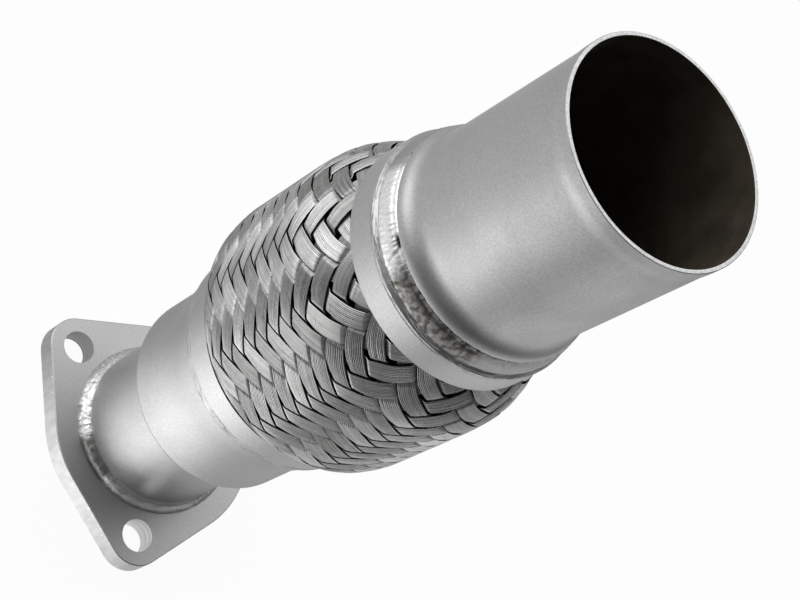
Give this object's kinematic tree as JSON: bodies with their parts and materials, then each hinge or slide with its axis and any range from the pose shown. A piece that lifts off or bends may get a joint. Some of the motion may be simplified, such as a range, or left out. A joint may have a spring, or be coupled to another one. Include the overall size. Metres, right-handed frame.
{
  "type": "flexible exhaust pipe",
  "caption": "Flexible turbocharger exhaust pipe: bolted flange, swaged inlet neck, braided bellows between pressed collars and a plain outlet pipe.",
  "frame": {"origin": "centre of the flange's mating face", "axes": "+Z runs along the pipe's axis from the flange to the outlet's mouth; +Y points to one ear of the flange"},
  "size_m": [0.106, 0.1122, 0.316],
  "materials": {
    "steel_flange": "satin silver coating over cut steel plate",
    "steel_pipe": "satin silver coating",
    "steel_collar": "satin silver coating",
    "weld_bead": "rough, lumpy bead with bright flecks and dull brown patches",
    "wire_braid": "fine drawn wire in flat ribbons",
    "bellows_steel": "thin rolled sheet, darkened",
    "liner_steel": "dark, dull"
  },
  "bodies": {
    "root": {"flange": "steel_flange", "flange_weld": "weld_bead", "inlet_pipe": "steel_pipe", "inlet_weld": "weld_bead", "inlet_collar": "steel_collar", "braid": "wire_braid", "bellows": "bellows_steel", "liner": "liner_steel", "outlet_collar": "steel_collar", "outlet_weld": "weld_bead", "outlet_pipe": "steel_pipe"}
  },
  "joints": []
}
